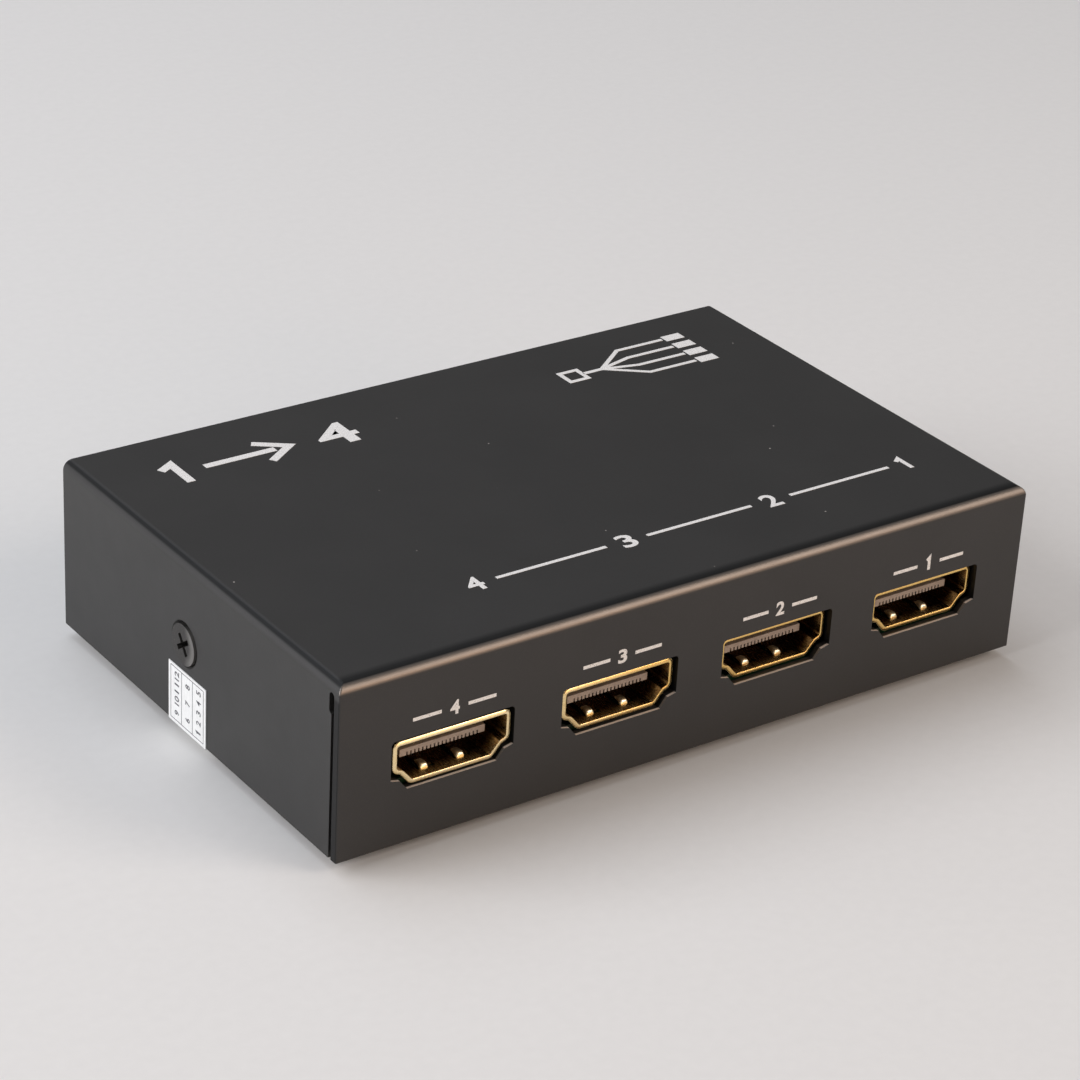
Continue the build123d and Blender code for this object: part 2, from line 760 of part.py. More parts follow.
# Board: outline, screw holes and the slots for every leg and terminal
with BuildPart() as main_board:
    with BuildSketch(Plane.XY.offset(board_z)):
        with Locations((0, (board_front_y + board_rear_y) / 2)):
            Rectangle(2 * board_x, board_rear_y - board_front_y)
        with Locations(*standoff_places):
            Circle(board_screw_r + board_hole_gap, mode=Mode.SUBTRACT)
        leg_places = [
            (side * side_wall, leg_y)
            for side in (-1, 1)
            for leg_y in (leg_front_y, leg_rear_y)
        ]
        fronts = [(ports_x[index], ports_y[index], 1) for index in range(port_count)]
        for socket_x, socket_y, facing in fronts + [(input_x, input_y, -1)]:
            with Locations(*[(socket_x + x, socket_y + facing * y) for x, y in leg_places]):
                Rectangle(shell_t + 2 * board_hole_gap, leg_w + 2 * board_hole_gap, mode=Mode.SUBTRACT)
        with Locations((jack_x, jack_y - jack_l - running_gap - jack_tag_t / 2)):
            Rectangle(jack_tag_w + 2 * board_hole_gap, jack_tag_t + 2 * board_hole_gap, mode=Mode.SUBTRACT)
        with Locations((jack_x, jack_y - jack_spring_drop_y)):
            Rectangle(
                jack_spring_w + 2 * board_hole_gap,
                jack_spring_t + 2 * board_hole_gap,
                mode=Mode.SUBTRACT,
            )
        switch_leg_x = (switch_w - switch_t) / 2
        for side in (-1, 1):
            with Locations((switch_x + side * switch_leg_x, switch_y - switch_d / 2)):
                Rectangle(switch_t + 2 * board_hole_gap, switch_leg_w + 2 * board_hole_gap, mode=Mode.SUBTRACT)
        with Locations((switch_x, switch_y - terminal_y)):
            with GridLocations(terminal_pitch, 0, terminal_count, 1):
                Rectangle(terminal_w + 2 * board_hole_gap, terminal_w + 2 * board_hole_gap, mode=Mode.SUBTRACT)
        lead_y = lamp_y - lamp_l - lamp_rim_t - lead_back
        with Locations((lamp_x - lead_pitch / 2, lead_y), (lamp_x + lead_pitch / 2, lead_y)):
            Rectangle(lead_w + 2 * board_hole_gap, lead_w + 2 * board_hole_gap, mode=Mode.SUBTRACT)
    extrude(amount=board_t)
main_board.part.label = "main_board"
export_step(main_board.part, "parts/main_board.step")

# Chips on the board: flat packages with chamfered upper edges
chips = (
    ("splitter_chip", splitter_place, splitter_w, splitter_w, splitter_t),
    ("control_chip", control_place, control_w, control_w, control_t),
    ("voltage_regulator", regulator_place, regulator_w, regulator_d, regulator_t),
    ("clock_crystal", crystal_place, crystal_w, crystal_d, crystal_t),
)
for piece, place, wide, deep, thick in chips:
    with BuildPart() as package:
        with BuildSketch(Plane.XY.offset(board_top_z)):
            with Locations(place):
                Rectangle(wide, deep)
        extrude(amount=thick)
        chamfer(package.faces().sort_by(Axis.Z)[-1].edges(), length=chip_edge)
    package.part.label = piece
    export_step(package.part, f"parts/{piece}.step")

# Power coil
with BuildPart() as power_coil:
    with BuildSketch(Plane.XY.offset(board_top_z)):
        with Locations(coil_place):
            RectangleRounded(coil_w, coil_w, coil_corner_r)
    extrude(amount=coil_t)
power_coil.part.label = "power_coil"
export_step(power_coil.part, "parts/power_coil.step")

# Filter cans
with BuildPart() as filter_cans:
    with BuildSketch(Plane.XY.offset(board_top_z)):
        with Locations(*can_places):
            Circle(can_r)
    extrude(amount=can_h)
filter_cans.part.label = "filter_cans"
export_step(filter_cans.part, "parts/filter_cans.step")

# Surge arrays behind each output socket
with BuildPart() as surge_arrays:
    with BuildSketch(Plane.XY.offset(board_top_z)):
        array_y = max(ports_y) + shell_l + array_back
        for socket_x in ports_x:
            with Locations((socket_x - array_pitch / 2, array_y), (socket_x + array_pitch / 2, array_y)):
                Rectangle(array_w, array_d)
    extrude(amount=array_t)
surge_arrays.part.label = "surge_arrays"
export_step(surge_arrays.part, "parts/surge_arrays.step")
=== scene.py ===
import math

import bpy
import numpy as np
from mathutils import Matrix, Vector


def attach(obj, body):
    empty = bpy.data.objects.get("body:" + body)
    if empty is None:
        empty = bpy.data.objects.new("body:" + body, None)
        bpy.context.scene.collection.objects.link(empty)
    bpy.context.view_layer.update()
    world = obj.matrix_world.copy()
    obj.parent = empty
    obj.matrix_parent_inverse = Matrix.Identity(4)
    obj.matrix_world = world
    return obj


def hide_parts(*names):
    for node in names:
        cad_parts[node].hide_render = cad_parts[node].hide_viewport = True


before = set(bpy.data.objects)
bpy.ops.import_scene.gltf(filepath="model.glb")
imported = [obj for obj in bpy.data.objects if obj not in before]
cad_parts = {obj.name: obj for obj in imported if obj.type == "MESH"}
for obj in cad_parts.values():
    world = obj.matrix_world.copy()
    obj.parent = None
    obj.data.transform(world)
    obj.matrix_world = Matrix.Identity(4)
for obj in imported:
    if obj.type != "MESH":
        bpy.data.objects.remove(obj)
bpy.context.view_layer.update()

# ---------------------------------------------------------------------------------------------
# Case: the cover and the tray, two folded sheets of 1 mm steel with a matt dark powder coat.
# They were punched and folded first and coated after, so the film runs round every edge. Dust has
# settled on the top. The coat also carries a painted highlight and painted shade, set out below.
# ---------------------------------------------------------------------------------------------
MM = 0.001
CASE_W, CASE_D, CASE_H, FOOT_H = 95 * MM, 60.6 * MM, 21.4 * MM, 1.5 * MM
FRONT_Y, REAR_Y, SIDE_X, TOP_Z = -CASE_D / 2, CASE_D / 2, CASE_W / 2, FOOT_H + CASE_H


def linear(colour):
    """An sRGB hex colour as the linear RGBA that shader sockets take."""
    parts = [int(colour[i:i + 2], 16) / 255 for i in (1, 3, 5)]
    return [c / 12.92 if c <= 0.04045 else ((c + 0.055) / 1.055) ** 2.4 for c in parts] + [1]


def node(tree, kind, settings=None, inputs=None):
    """A new shader node. Settings are its properties, and an input is a value or a socket."""
    made = tree.nodes.new("ShaderNode" + kind)
    for key, value in (settings or {}).items():
        setattr(made, key, value)
    for key, value in (inputs or {}).items():
        if isinstance(value, bpy.types.NodeSocket):
            tree.links.new(value, made.inputs[key])
        else:
            made.inputs[key].default_value = value
    return made


def blank(name, **sockets):
    """A material with a bare Principled shader, its constants set on the shader's own sockets."""
    made = bpy.data.materials.new(name)
    made.use_nodes = True
    tree = made.node_tree
    shader = tree.nodes["Principled BSDF"]
    for key, value in sockets.items():
        shader.inputs[key.replace("_", " ")].default_value = value
    return made, tree, shader, node(tree, "TexCoord").outputs["Object"]


def paint(tree, shader, colour, rough=None, normal=None):
    """Links a colour, a roughness and a normal to a shader, as far as they are given."""
    for key, value in (("Base Color", colour), ("Roughness", rough), ("Normal", normal)):
        if value is not None:
            tree.links.new(value, shader.inputs[key])


def noise(tree, place, size, detail=2.0, rough=0.5, stretch=(1, 1, 1)):
    """Noise with features of a real size in metres, 0 to 1, drawn out along an axis below 1."""
    scaled = node(tree, "VectorMath", {"operation": "MULTIPLY"}, {0: place, 1: stretch})
    inputs = {"Vector": scaled.outputs[0], "Scale": 1 / size, "Detail": detail, "Roughness": rough}
    return node(tree, "TexNoise", None, inputs).outputs["Fac"]


def spread(tree, value, low, high, to_low=0, to_high=1):
    """Maps a value's range onto another, and clamps it."""
    return node(tree, "MapRange", {"clamp": True},
                {"Value": value, "From Min": low, "From Max": high,
                 "To Min": to_low, "To Max": to_high}).outputs[0]


def mixed(tree, share, first, second):
    """Mixes two colours, each a socket or a linear colour."""
    return node(tree, "Mix", {"data_type": "RGBA"}, {0: share, 6: first, 7: second}).outputs[2]


def bumped(tree, height, depth, strength=1.0, under=None):
    """A bump of a real depth in metres, over another bump where there is one."""
    inputs = {"Height": height, "Distance": depth, "Strength": strength}
    if under is not None:
        inputs["Normal"] = under
    return node(tree, "Bump", None, inputs).outputs[0]


def product(tree, first, *others):
    """Multiplies masks."""
    for other in others:
        first = node(tree, "Math", {"operation": "MULTIPLY"}, {0: first, 1: other}).outputs[0]
    return first


def dress(names, made):
    """Gives CAD nodes or new pieces one material."""
    for name in names:
        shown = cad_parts[name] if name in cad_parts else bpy.data.objects[name]
        shown.data.materials.clear()
        shown.data.materials.append(made)


# Powder coat, baked: a fine orange peel breaks the light up, and a fold's soft line is partly a
# painted highlight.
coat, tree, shader, place = blank("Powder_coat_matt_dark_baked", Roughness=0.4,
                                  Specular_IOR_Level=0.5)
peel = noise(tree, place, 0.42 * MM, 2.0)
grit = noise(tree, place, 0.11 * MM, 3.0, 0.6)
cloud = noise(tree, place, 14 * MM, 2.0)
tone = mixed(tree, spread(tree, cloud, 0.3, 0.7), linear("#282726"), linear("#2c2b2a"))
tone = mixed(tree, spread(tree, grit, 0.62, 0.8, 0, 0.5), tone, linear("#5a5855"))
tone = mixed(tree, spread(tree, grit, 0.38, 0.22, 0, 0.6), tone, linear("#171716"))
# The marks below go by where a point lies and which way its face looks.
face = node(tree, "SeparateXYZ", None, {0: node(tree, "NewGeometry").outputs["Normal"]}).outputs
spot = node(tree, "SeparateXYZ", None, {0: place}).outputs
up, height, depth = face["Z"], spot["Z"], spot["Y"]
sideways = node(tree, "Math", {"operation": "ABSOLUTE"}, {0: face["X"]}).outputs[0]
# Painted highlight: where the wall was punched for the sockets, the cut edges that look up are
# made pale near the wall's front. None of them is higher than the openings' top.
OPENING_TOP = FOOT_H + 12 * MM
cut = product(tree, spread(tree, up, 0.3, 0.8),
              spread(tree, height, OPENING_TOP, OPENING_TOP + 0.1 * MM, 1, 0),
              spread(tree, depth, FRONT_Y + 0.3 * MM, FRONT_Y + 0.36 * MM, 1, 0))
tone = mixed(tree, cut, tone, linear("#d6cbc2"))
# Dust is drawn a little coarser than the real 0.05 mm grains, which are below a pixel.
specks = node(tree, "TexVoronoi", {"feature": "F1"},
              {"Vector": place, "Scale": 1 / (4.5 * MM), "Randomness": 1.0}).outputs["Distance"]
rare = spread(tree, noise(tree, place, 7 * MM, 1.0), 0.42, 0.55, 0, 0.8)
dust = product(tree, spread(tree, specks, 0.018, 0.03, 1, 0), rare, spread(tree, up, 0.9, 0.98))
tone = mixed(tree, dust, tone, linear("#b9b4ae"))
# Painted highlight: the front fold, from below the top to above the wall, turns to a warm grey
# metal so that the lamps draw a bright line along it.
fold = product(tree, spread(tree, up, 0.18, 0.46), spread(tree, up, 0.94, 0.79),
               spread(tree, face["Y"], -0.1, -0.3),
               spread(tree, height, TOP_Z - 2.2 * MM, TOP_Z - 2 * MM),
               spread(tree, depth, FRONT_Y + 2 * MM, FRONT_Y + 1.8 * MM))
tree.links.new(fold, shader.inputs["Metallic"])
# Painted shade: the coat is made darker and less shiny on a strip behind that line, on the side
# folds' upper half, and on the front sheet's cut edges at the open seams.
behind = product(tree, spread(tree, up, 0.86, 0.95),
                 spread(tree, depth, FRONT_Y + 2.3 * MM, FRONT_Y + 1.35 * MM),
                 spread(tree, height, TOP_Z - 0.4 * MM, TOP_Z - 0.2 * MM))
side_fold_shade = product(tree, spread(tree, up, 0.995, 0.92), spread(tree, up, 0.66, 0.8),
                    spread(tree, sideways, 0.05, 0.1),
                    spread(tree, height, TOP_Z - 1.3 * MM, TOP_Z - 1.1 * MM))
seam_shade = product(tree, spread(tree, sideways, 0.6, 0.9),
               spread(tree, depth, FRONT_Y + 1.1 * MM, FRONT_Y + 1.0 * MM),
               spread(tree, height, TOP_Z - 1.6 * MM, TOP_Z - 2 * MM))
dull = behind
for other in (side_fold_shade, seam_shade):
    dull = node(tree, "Math", {"operation": "MAXIMUM"}, {0: dull, 1: other}).outputs[0]
tone = mixed(tree, dull, tone, linear("#121212"))
tree.links.new(spread(tree, dull, 0, 1, 0.5, 0.26), shader.inputs["Specular IOR Level"])
# The front fold's painted highlight takes its warm grey metal colour here.
paint(tree, shader, mixed(tree, fold, tone, linear("#888079")),
      spread(tree, noise(tree, place, 3 * MM, 3.0), 0.3, 0.7, 0.455, 0.485),
      bumped(tree, grit, 0.0025 * MM, 0.8, bumped(tree, peel, 0.006 * MM, 0.8)))
dress(["top_cover", "base_tray"], coat)

# ---------------------------------------------------------------------------------------------
# Case screws: two countersunk steel screws with a cross recess, one in each side wall. They were
# cold-headed, tumbled in a barrel and plated in black zinc.
# ---------------------------------------------------------------------------------------------
# Black zinc, tumbled: a soft satin with small dents from the barrel.
blackened, tree, shader, place = blank("Black_zinc_plate_tumbled", Metallic=0.6, Roughness=0.38)
dents = noise(tree, place, 0.3 * MM, 3.0)
tone = mixed(tree, spread(tree, dents, 0.55, 0.75), linear("#3b3937"), linear("#5d5a57"))
# Painted highlight: a lighter crescent on the front side of the head, near its rim.
HEAD = (0, 1.95 * MM, FOOT_H + 10.9 * MM)
away = node(tree, "VectorMath", {"operation": "SUBTRACT"}, {0: place, 1: HEAD}).outputs[0]
away = node(tree, "VectorMath", {"operation": "MULTIPLY"}, {0: away, 1: (0, 1, 1)}).outputs[0]
backward = node(tree, "SeparateXYZ", None, {0: away}).outputs["Y"]
outward = node(tree, "VectorMath", {"operation": "LENGTH"}, {0: away}).outputs["Value"]
painted_crescent = product(tree, spread(tree, backward, -0.3 * MM, -1.6 * MM, 0, 0.55),
                 spread(tree, outward, 1.3 * MM, 2.1 * MM))
paint(tree, shader, mixed(tree, painted_crescent, tone, linear("#9a9793")),
      spread(tree, dents, 0.3, 0.7, 0.3, 0.46), bumped(tree, dents, 0.02 * MM, 0.6))
dress(["case_screw_left", "case_screw_right"], blackened)

# ---------------------------------------------------------------------------------------------
# Feet: four dots die-cut from black rubber sheet, stuck under the tray. The case stands on them,
# so no more than their rims is seen.
# ---------------------------------------------------------------------------------------------
# Rubber sheet, die-cut: dull, with a fine pressed grain and a trace of bloom.
rubber, tree, shader, place = blank("Rubber_sheet_die_cut", Roughness=0.8, Specular_IOR_Level=0.3)
grain = noise(tree, place, 0.15 * MM, 3.0)
bloom = spread(tree, noise(tree, place, 2.5 * MM, 2.0), 0.4, 0.7)
paint(tree, shader, mixed(tree, bloom, linear("#1c1c1c"), linear("#2c2b2a")),
      spread(tree, grain, 0.3, 0.7, 0.7, 0.9), bumped(tree, grain, 0.02 * MM, 0.7))
dress(["foot_front_left", "foot_front_right", "foot_rear_left", "foot_rear_right"], rubber)

# ---------------------------------------------------------------------------------------------
# Sockets: each shell is stamped from thin steel and gold flashed, and holds a moulded block whose
# tongue carries the contacts.
# ---------------------------------------------------------------------------------------------
sockets = ["input", "output_1", "output_2", "output_3", "output_4"]
# Gold flash over nickel, on stamped strip: warm and bright, with draw lines from the die.
gold, tree, shader, place = blank("Gold_flash_on_stamped_steel", Metallic=1.0, Roughness=0.25)
lines = noise(tree, place, 0.12 * MM, 3.0, 0.6, (1, 0.12, 1))
stain = noise(tree, place, 1.6 * MM, 3.0)
tone = mixed(tree, spread(tree, stain, 0.35, 0.7), linear("#fae3ab"), linear("#efcf8c"))
# Painted shade: inside the mouth the gold is darkened to brown, the more so the further in.
outward = node(tree, "Math", {"operation": "ABSOLUTE"},
               {0: node(tree, "SeparateXYZ", None, {0: place}).outputs["Y"]}).outputs[0]
deep = spread(tree, outward, 29.7 * MM, 28.1 * MM)
paint(tree, shader, mixed(tree, deep, tone, linear("#6a4c24")),
      spread(tree, lines, 0.3, 0.7, 0.18, 0.34), bumped(tree, lines, 0.004 * MM, 0.5))
dress([socket + "_shell" for socket in sockets], gold)


def piece(name, points, faces, smooth=True):
    """A new object from points in metres and faces."""
    mesh = bpy.data.meshes.new(name)
    mesh.from_pydata(points, [], faces)
    if smooth:
        mesh.shade_smooth()
    mesh.update()
    made = bpy.data.objects.new(name, mesh)
    bpy.context.collection.objects.link(made)
    return made


def rounded(corners, radii, step=0.16):
    """A closed outline whose corners turn in steps, as points and the directions out of it."""
    points, facing = [], []
    befores, afters = np.roll(corners, 1, 0), np.roll(corners, -1, 0)
    for corner, radius, before, after in zip(corners, radii, befores, afters):
        arrive, leave = corner - before, after - corner
        arrive, leave = arrive / np.linalg.norm(arrive), leave / np.linalg.norm(leave)
        turn = math.atan2(arrive[0] * leave[1] - arrive[1] * leave[0], arrive @ leave)
        start = corner - arrive * radius * math.tan(abs(turn) / 2)
        heading = math.atan2(arrive[1], arrive[0])
        hand = math.copysign(1, turn)
        centre = start + radius * hand * np.array([-arrive[1], arrive[0]])
        for share in np.linspace(0, 1, 2 + int(abs(turn) / step)):
            angle = heading + turn * share
            left = np.array([-math.sin(angle), math.cos(angle)])
            points.append(centre - radius * hand * left)
            facing.append(left)
    return np.array(points), np.array(facing)


def lip(name, x, y, forward):
    """A mouth's rolled lip: a flat ellipse, tilted back outside, carried round the outline."""
    # Half of the mouth's corners in millimetres: across, above its floor, radius.
    half = [(7, 4.55, 0.35), (7, 1.7, 0.5), (6.2, 1.42, 0.7), (5, 0, 0.5)]
    outline = np.array(half + [(-a, b, radius) for a, b, radius in half[::-1]]) * MM
    path, facing = rounded(outline[:, :2], outline[:, 2])
    # The ellipse: points, how far out of the mouth its middle lies, half its width and height.
    ring, out, half_wide, half_high, tilt = 20, 0.25, 0.27, 0.11, math.radians(15)
    around = np.linspace(0, 2 * math.pi, ring, endpoint=False)
    wide, high = half_wide * np.cos(around), half_high * np.sin(around)
    reach = (out + wide * math.cos(tilt) + high * math.sin(tilt)) * MM
    rise = (high * math.cos(tilt) - wide * math.sin(tilt)) * MM
    flat = path[:, None] + facing[:, None] * reach[None, :, None]
    points = np.empty((len(path), ring, 3))
    points[..., 0], points[..., 2] = x - forward * flat[..., 0], FLOOR_Z + flat[..., 1]
    points[..., 1] = y + forward * rise[None]
    faces = []
    for i in range(len(path)):
        a, b = ring * i, ring * ((i + 1) % len(path))
        faces += [(a + j, b + j, b + (j + 1) % ring, a + (j + 1) % ring) for j in range(ring)]
    piece(name, points.reshape(-1, 3).tolist(), faces)


# The strip's edge is rolled over at each mouth, so the lip is round and its top catches a line.
# Each row has a mouth's middle across, its plane's Y in millimetres, and the way that it looks.
FLOOR_Z = FOOT_H + 7.475 * MM
mouths = (("input", -13.965, 29.95, 1), ("output_1", 33.003, -29.45, -1),
          ("output_2", 11.001, -29.4, -1), ("output_3", -11.001, -29.75, -1),
          ("output_4", -33.003, -30.0, -1))
for socket, x, y, forward in mouths:
    lip(socket + "_lip", x * MM, y * MM, forward)
    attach(bpy.data.objects[socket + "_lip"], "case")
# Gold flash burnished by the rolling: even, and paler towards the fourth output.
burnished, tree, shader, place = blank("Gold_flash_burnished_by_rolling", Metallic=1.0,
                                       Roughness=0.26)
wear = noise(tree, place, 0.9 * MM, 2.0)
across = node(tree, "SeparateXYZ", None, {0: place}).outputs["X"]
deeper_share = spread(tree, across, -26 * MM, -5 * MM)
pale_tone = mixed(tree, wear, linear("#ffedc4"), linear("#f9dca0"))
deeper_tone = mixed(tree, wear, linear("#f6d48c"), linear("#e9bd6c"))
paint(tree, shader, mixed(tree, deeper_share, pale_tone, deeper_tone),
      spread(tree, wear, 0.3, 0.7, 0.22, 0.3),
      bumped(tree, noise(tree, place, 0.5 * MM, 2.0), 0.003 * MM, 0.5))
dress([socket + "_lip" for socket in sockets], burnished)


def tips(name, x, y, forward):
    """The ends of a mouth's two lower springs: a crest carried across each, low at its sides."""
    # The crest in millimetres behind the mouth's plane and above its floor, then its rows in
    # millimetres across the spring, each with the share of the height that it has there.
    crest = [(1.18, -0.1), (1.2, 0.12), (1.28, 0.32), (1.42, 0.46), (1.65, 0.54), (2.0, 0.54),
             (2.5, 0.42), (2.9, 0.2), (2.9, -0.1)]
    rows = [(-0.8, 0.6), (-0.72, 0.88), (-0.5, 1), (0, 1), (0.1, 0.88), (0.18, 0.6)]
    spring_x, count, points, faces = 2.32, len(crest), [], []
    for side in (-spring_x, spring_x):
        start = len(points)
        for across, full in rows:
            for deep, high in crest:
                rise = high * full if high > 0 else high
                points.append(((x - forward * (side + across)) * MM, (y - forward * deep) * MM,
                               FLOOR_Z + rise * MM))
        for i in range(len(rows) - 1):
            a, b = start + count * i, start + count * (i + 1)
            faces += [(a + j, a + (j + 1) % count, b + (j + 1) % count, b + j)
                      for j in range(count)]
        faces.append(tuple(range(start + count - 1, start - 1, -1)))
        faces.append(tuple(range(len(points) - count, len(points))))
    piece(name, points, faces)


def simple(name, grain, colours, roughs, bump, **sockets):
    """A material whose colour, roughness and bump all follow one noise."""
    made, tree, shader, place = blank(name, **sockets)
    marks = noise(tree, place, *grain)
    paint(tree, shader, mixed(tree, marks, linear(colours[0]), linear(colours[1])),
          spread(tree, marks, 0.3, 0.7, *roughs), bumped(tree, marks, *bump))
    return made


# Nickel shows where plugs have rubbed the flash off the springs: whitish and satin.
nickel = simple("Nickel_underlayer_rubbed_by_plugs", (0.25 * MM, 2.0, 0.5, (1, 0.3, 1)),
                ("#fff7e2", "#f6e3b4"), (0.27, 0.38), (0.003 * MM, 0.5),
                Metallic=1.0, Roughness=0.42)
for socket, x, y, forward in mouths:
    tips(socket + "_tips", x, y, forward)
    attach(bpy.data.objects[socket + "_tips"], "case")
dress([socket + "_tips" for socket in sockets], nickel)

# Hard gold on the contacts: rolled edges and a finer, brighter surface.
contact = simple("Gold_plate_on_contacts", (0.06 * MM, 2.0, 0.5, (1, 0.1, 1)),
                 ("#f0cc80", "#dcb05a"), (0.14, 0.28), (0.002 * MM, 0.4),
                 Metallic=1.0, Roughness=0.2)
dress([socket + "_contacts" for socket in sockets], contact)

# Glass-filled nylon, moulded: matt, with faint flow marks and fibres that show as pale flecks.
nylon, tree, shader, place = blank("Glass_filled_nylon_moulded", Roughness=0.55)
flow = noise(tree, place, 1.2 * MM, 2.0, 0.5, (1, 0.4, 1))
fleck = noise(tree, place, 0.09 * MM, 2.0)
tone = mixed(tree, spread(tree, flow, 0.3, 0.7), linear("#97897e"), linear("#a6988c"))
tone = mixed(tree, spread(tree, fleck, 0.6, 0.8, 0, 0.5), tone, linear("#d2c6ba"))
paint(tree, shader, tone, spread(tree, flow, 0.3, 0.7, 0.48, 0.62),
      bumped(tree, fleck, 0.004 * MM, 0.6))
dress([socket + "_block" for socket in sockets], nylon)

# ---------------------------------------------------------------------------------------------
# Board, its standoffs and screws, and the components soldered to it. The closed case hides them,
# and each has its own material all the same.
# ---------------------------------------------------------------------------------------------
# Laminate under green solder mask: the weave of the glass cloth shows faintly through it.
laminate, tree, shader, place = blank("Glass_laminate_green_solder_mask", Roughness=0.35,
                                      Coat_Weight=0.3, Coat_Roughness=0.2)
threads = [node(tree, "TexWave", {"wave_type": "BANDS", "bands_direction": way},
                {"Vector": place, "Scale": 1 / (5.2 * MM), "Distortion": 0.6}).outputs["Fac"]
           for way in "XY"]
weave = product(tree, *threads)
blotch = spread(tree, noise(tree, place, 6 * MM, 2.0), 0.3, 0.7)
tone = mixed(tree, blotch, linear("#0a2e1b"), linear("#0e3a23"))
tone = mixed(tree, spread(tree, weave, 0.4, 1.0, 0, 0.35), tone, linear("#1c5234"))
paint(tree, shader, tone, normal=bumped(tree, weave, 0.01 * MM, 0.4))
dress(["main_board"], laminate)

# Bright zinc on turned and folded steel: bluish, with drawing lines.
zinc = simple("Bright_zinc_on_steel", (0.15 * MM, 3.0, 0.6, (1, 1, 0.15)),
              ("#b4b9bd", "#d0d4d6"), (0.26, 0.46), (0.006 * MM, 0.5),
              Metallic=1.0, Roughness=0.35)
dress(["standoffs", "board_screws", "switch_frame"], zinc)

# Tin dipped and reflowed: whitish and slightly rippled.
tin = simple("Tin_plate_reflowed", (0.35 * MM, 2.0), ("#bdbcb8", "#dcdbd6"), (0.22, 0.42),
             (0.01 * MM, 0.5), Metallic=1.0, Roughness=0.32)
dress(["jack_spring", "jack_pin", "switch_terminals", "lamp_leads", "clock_crystal"], tin)

# Moulding resin on the chips: sparked grey-black, matt.
resin = simple("Epoxy_resin_moulded_sparked", (0.08 * MM, 3.0), ("#1b1b1c", "#2c2c2d"),
               (0.5, 0.7), (0.01 * MM, 0.6), Roughness=0.6)
dress(["splitter_chip", "control_chip", "voltage_regulator", "surge_arrays"], resin)

# Drawn aluminium cans: bright walls with fine drawing lines up them.
drawn = simple("Aluminium_drawn", (0.1 * MM, 3.0, 0.6, (1, 1, 0.1)), ("#c9cacb", "#e2e2e2"),
               (0.2, 0.38), (0.004 * MM, 0.5), Metallic=1.0, Roughness=0.28)
dress(["filter_cans"], drawn)

# Ferrite, pressed and sintered: dark grey with open grain.
ferrite, tree, shader, place = blank("Ferrite_pressed_sintered", Roughness=0.55)
grain = noise(tree, place, 0.12 * MM, 4.0, 0.65)
tone = mixed(tree, spread(tree, grain, 0.35, 0.7), linear("#303031"), linear("#4a4a4b"))
paint(tree, shader, tone, spread(tree, grain, 0.3, 0.7, 0.45, 0.65),
      bumped(tree, grain, 0.015 * MM, 0.6))
dress(["power_coil"], ferrite)

# ---------------------------------------------------------------------------------------------
# Rear wall: the power jack, the slide switch and the lamp, soldered to the board's rear edge. The
# lamp gets a round end here.
# ---------------------------------------------------------------------------------------------
# Black plastic, moulded in a fine-sparked die: even and slightly shiny on its high points.
plastic, tree, shader, place = blank("Plastic_black_moulded_fine_spark", Roughness=0.5)
spark = noise(tree, place, 0.1 * MM, 3.0)
worn = spread(tree, noise(tree, place, 1.5 * MM, 2.0), 0.4, 0.7)
paint(tree, shader, mixed(tree, worn, linear("#171717"), linear("#242424")),
      spread(tree, spark, 0.3, 0.7, 0.4, 0.58), bumped(tree, spark, 0.008 * MM, 0.6))
dress(["jack_body", "switch_base", "switch_lever"], plastic)

# Red-tinted lamp resin, cast: light passes into it, and the surface is glossy with soft waves.
lens = simple("Lamp_resin_cast_red", (0.8 * MM, 2.0), ("#a31a14", "#c8352a"), (0.1, 0.22),
              (0.01 * MM, 0.3), Roughness=0.15, Transmission_Weight=0.35,
              Subsurface_Weight=0.2, Subsurface_Scale=0.001)

# The lamp's body, turned: each row has a radius and a depth behind the tip, in millimetres.
LAMP_X, LAMP_Z, TURNS = 7.03 * MM, FOOT_H + 10.775 * MM, 40
profile = [(0.25, 0.02), (0.6, 0.1), (0.95, 0.26), (1.22, 0.48), (1.42, 0.78), (1.5, 1.15),
           (1.5, 5.0), (1.9, 5.05), (1.9, 6.0)]
points = [(LAMP_X, REAR_Y, LAMP_Z)]
for radius, back in profile:
    for turn in range(TURNS):
        angle = 2 * math.pi * turn / TURNS
        points.append((LAMP_X + radius * MM * math.cos(angle), REAR_Y - back * MM,
                       LAMP_Z + radius * MM * math.sin(angle)))
points.append((LAMP_X, REAR_Y - profile[-1][1] * MM, LAMP_Z))
faces, last = [], len(points) - 1
for turn in range(TURNS):
    after = (turn + 1) % TURNS
    faces.append((0, 1 + turn, 1 + after))
    for ring in range(len(profile) - 1):
        a, b = 1 + ring * TURNS, 1 + (ring + 1) * TURNS
        faces.append((a + turn, b + turn, b + after, a + after))
    faces.append((last, last - TURNS + after, last - TURNS + turn))
piece("lamp_dome", points, faces)
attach(bpy.data.objects["lamp_dome"], "case")
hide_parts("power_lamp")
dress(["power_lamp", "lamp_dome"], lens)

# ---------------------------------------------------------------------------------------------
# Prints: screened in one pass with light grey ink. Only numbers and plain signs: a ratio, a
# one-to-four diagram, and a number with a bar each side over each socket. They are laid out in
# millimetres. Where strokes cross, one lies a layer higher, so that no two faces share a plane.
# ---------------------------------------------------------------------------------------------
INK, LAYER = 0.02, 0.003


